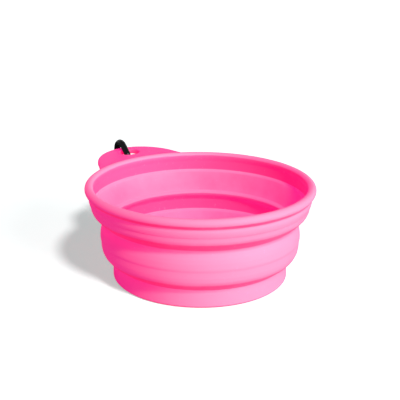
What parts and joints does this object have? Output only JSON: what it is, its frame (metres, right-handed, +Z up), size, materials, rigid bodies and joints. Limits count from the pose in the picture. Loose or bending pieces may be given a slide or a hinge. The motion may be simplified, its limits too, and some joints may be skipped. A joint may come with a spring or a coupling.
{
  "type": "collapsible bowl",
  "caption": "Round collapsible silicone bowl with stepped tiers that fold into each other and a slotted hanging tab carrying a spring gate clip.",
  "frame": {"origin": "centre of the bowl's underside, on the plane it stands on", "axes": "+Z up along the bowl's axis, +Y out through the hanging tab, +X to the right seen from the bowl towards the tab"},
  "size_m": [0.13, 0.1658, 0.0606],
  "materials": {
    "silicone": "matte",
    "black_metal": "gloss black nickel",
    "steel": "bright"
  },
  "bodies": {
    "base": {"base_cup": "silicone", "lower_fold": "silicone"},
    "middle": {"middle_ring": "silicone", "upper_fold": "silicone"},
    "rim": {"rim_ring": "silicone", "hanging_tab": "silicone"},
    "carabiner": {"carabiner_body": "black_metal"},
    "gate": {"carabiner_gate": "black_metal", "gate_rivet": "steel", "latch_pin": "steel", "gate_spring": "steel"},
    "plunger": {"spring_plunger": "steel"}
  },
  "joints": [
    {"name": "lower_collapse", "type": "slide", "parent": "base", "child": "middle", "axis": [0, 0, -1], "range_m": [0, 0.0215], "deforming": ["lower_fold"]},
    {"name": "upper_collapse", "type": "slide", "parent": "middle", "child": "rim", "axis": [0, 0, -1], "range_m": [0, 0.0214], "deforming": ["upper_fold"]},
    {"name": "clip_swing", "type": "hinge", "parent": "rim", "child": "carabiner", "pos_m": [-0.0016, 0.0863, 0.0529], "axis": [1, 0, 0], "range_deg": [-10, 95]},
    {"name": "gate_open", "type": "hinge", "parent": "carabiner", "child": "gate", "pos_m": [-0.0016, 0.0775, 0.0428], "axis": [1, 0, 0], "range_deg": [0, 24], "stiffness_Nm_per_rad": 0.04, "springref_deg": -17.19},
    {"name": "plunger_slide", "type": "slide", "parent": "gate", "child": "plunger", "axis": [0, 0, -1], "range_m": [0, 0.0004], "deforming": ["gate_spring"]}
  ],
  "couplings": [
    {"joint": "plunger_slide", "follows": "gate_open", "m_per_rad": 0.0005}
  ]
}
